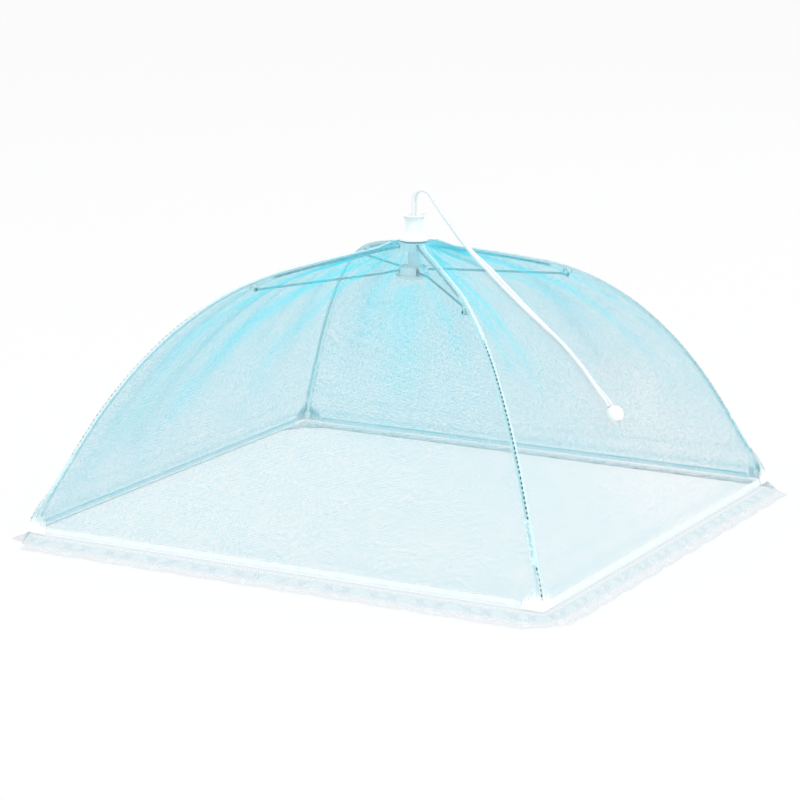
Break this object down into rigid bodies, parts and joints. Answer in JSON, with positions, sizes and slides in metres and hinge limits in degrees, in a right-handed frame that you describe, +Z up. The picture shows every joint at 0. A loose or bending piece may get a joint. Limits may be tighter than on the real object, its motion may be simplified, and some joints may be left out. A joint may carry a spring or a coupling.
{
  "type": "mesh food cover umbrella",
  "caption": "Square folding net food cover: white plastic hub and finial, wire ribs and stretchers, aqua net panels, white hem tape and lace edge, doubled pull cord with bead.",
  "frame": {"origin": "on the table under the centre of the open cover", "axes": "+Z up through the finial, the square's sides along X and Y, front towards -Y, and the cord lies over the +X panel"},
  "size_m": [0.4684, 0.4684, 0.2598],
  "materials": {
    "white_plastic": "moulded, lightly glossy",
    "rib_steel": "thin coated wire",
    "aqua_net": "fine see-through net",
    "aqua_binding": "narrow binding with white stitches",
    "white_tape": "woven tape",
    "white_lace": "scalloped lace",
    "white_cord": "soft cord"
  },
  "bodies": {
    "canopy": {"top_hub": "white_plastic", "hub_ring_wire": "rib_steel", "finial": "white_plastic", "mesh_panel_front": "aqua_net", "mesh_panel_right": "aqua_net", "mesh_panel_back": "aqua_net", "mesh_panel_left": "aqua_net", "hem_tape_front": "white_tape", "hem_tape_right": "white_tape", "hem_tape_back": "white_tape", "hem_tape_left": "white_tape", "lace_trim_front": "white_lace", "lace_trim_right": "white_lace", "lace_trim_back": "white_lace", "lace_trim_left": "white_lace", "seam_tape_front_right": "aqua_binding", "seam_tape_back_right": "aqua_binding", "seam_tape_back_left": "aqua_binding", "seam_tape_front_left": "aqua_binding", "corner_pocket_front_right": "white_tape", "corner_pocket_back_right": "white_tape", "corner_pocket_back_left": "white_tape", "corner_pocket_front_left": "white_tape", "cord_strand_front": "white_cord", "cord_strand_back": "white_cord", "cord_bead": "white_plastic"},
    "runner": {"runner": "white_plastic", "runner_ring_wire": "rib_steel", "lock_shaft": "white_plastic"},
    "rib_front_right": {"rib_front_right": "rib_steel", "rib_clip_front_right": "white_plastic", "clip_rivet_front_right": "rib_steel", "rib_tip_front_right": "white_plastic"},
    "stretcher_front_right": {"stretcher_front_right": "rib_steel"},
    "rib_back_right": {"rib_back_right": "rib_steel", "rib_clip_back_right": "white_plastic", "clip_rivet_back_right": "rib_steel", "rib_tip_back_right": "white_plastic"},
    "stretcher_back_right": {"stretcher_back_right": "rib_steel"},
    "rib_back_left": {"rib_back_left": "rib_steel", "rib_clip_back_left": "white_plastic", "clip_rivet_back_left": "rib_steel", "rib_tip_back_left": "white_plastic"},
    "stretcher_back_left": {"stretcher_back_left": "rib_steel"},
    "rib_front_left": {"rib_front_left": "rib_steel", "rib_clip_front_left": "white_plastic", "clip_rivet_front_left": "rib_steel", "rib_tip_front_left": "white_plastic"},
    "stretcher_front_left": {"stretcher_front_left": "rib_steel"}
  },
  "joints": [
    {"name": "runner_slide", "type": "slide", "parent": "canopy", "child": "runner", "axis": [0, 0, 1], "range_m": [-0.19827, 0], "deforming": ["mesh_panel_front", "mesh_panel_right", "mesh_panel_back", "mesh_panel_left", "hem_tape_front", "hem_tape_right", "hem_tape_back", "hem_tape_left", "lace_trim_front", "lace_trim_right", "lace_trim_back", "lace_trim_left", "seam_tape_front_right", "seam_tape_back_right", "seam_tape_back_left", "seam_tape_front_left", "corner_pocket_front_right", "corner_pocket_back_right", "corner_pocket_back_left", "corner_pocket_front_left", "cord_strand_front", "cord_strand_back"]},
    {"name": "rib_hinge_front_right", "type": "hinge", "parent": "canopy", "child": "rib_front_right", "pos_m": [0.00608, -0.00608, 0.2165], "axis": [0.7071, 0.7071, 0], "range_deg": [0, 52.01]},
    {"name": "stretcher_hinge_front_right", "type": "hinge", "parent": "runner", "child": "stretcher_front_right", "pos_m": [0.00608, -0.00608, 0.1975], "axis": [-0.7071, -0.7071, 0], "range_deg": [0, 69.49]},
    {"name": "rib_hinge_back_right", "type": "hinge", "parent": "canopy", "child": "rib_back_right", "pos_m": [0.00608, 0.00608, 0.2165], "axis": [-0.7071, 0.7071, 0], "range_deg": [0, 52.01]},
    {"name": "stretcher_hinge_back_right", "type": "hinge", "parent": "runner", "child": "stretcher_back_right", "pos_m": [0.00608, 0.00608, 0.1975], "axis": [0.7071, -0.7071, 0], "range_deg": [0, 69.49]},
    {"name": "rib_hinge_back_left", "type": "hinge", "parent": "canopy", "child": "rib_back_left", "pos_m": [-0.00608, 0.00608, 0.2165], "axis": [-0.7071, -0.7071, 0], "range_deg": [0, 52.01]},
    {"name": "stretcher_hinge_back_left", "type": "hinge", "parent": "runner", "child": "stretcher_back_left", "pos_m": [-0.00608, 0.00608, 0.1975], "axis": [0.7071, 0.7071, 0], "range_deg": [0, 69.49]},
    {"name": "rib_hinge_front_left", "type": "hinge", "parent": "canopy", "child": "rib_front_left", "pos_m": [-0.00608, -0.00608, 0.2165], "axis": [0.7071, -0.7071, 0], "range_deg": [0, 52.01]},
    {"name": "stretcher_hinge_front_left", "type": "hinge", "parent": "runner", "child": "stretcher_front_left", "pos_m": [-0.00608, -0.00608, 0.1975], "axis": [-0.7071, 0.7071, 0], "range_deg": [0, 69.49]}
  ],
  "couplings": [
    {"joint": "rib_hinge_front_right", "follows": "runner_slide", "rad_per_m": -4.5775},
    {"joint": "stretcher_hinge_front_right", "follows": "runner_slide", "rad_per_m": -6.1165},
    {"joint": "rib_hinge_back_right", "follows": "runner_slide", "rad_per_m": -4.5775},
    {"joint": "stretcher_hinge_back_right", "follows": "runner_slide", "rad_per_m": -6.1165},
    {"joint": "rib_hinge_back_left", "follows": "runner_slide", "rad_per_m": -4.5775},
    {"joint": "stretcher_hinge_back_left", "follows": "runner_slide", "rad_per_m": -6.1165},
    {"joint": "rib_hinge_front_left", "follows": "runner_slide", "rad_per_m": -4.5775},
    {"joint": "stretcher_hinge_front_left", "follows": "runner_slide", "rad_per_m": -6.1165}
  ]
}
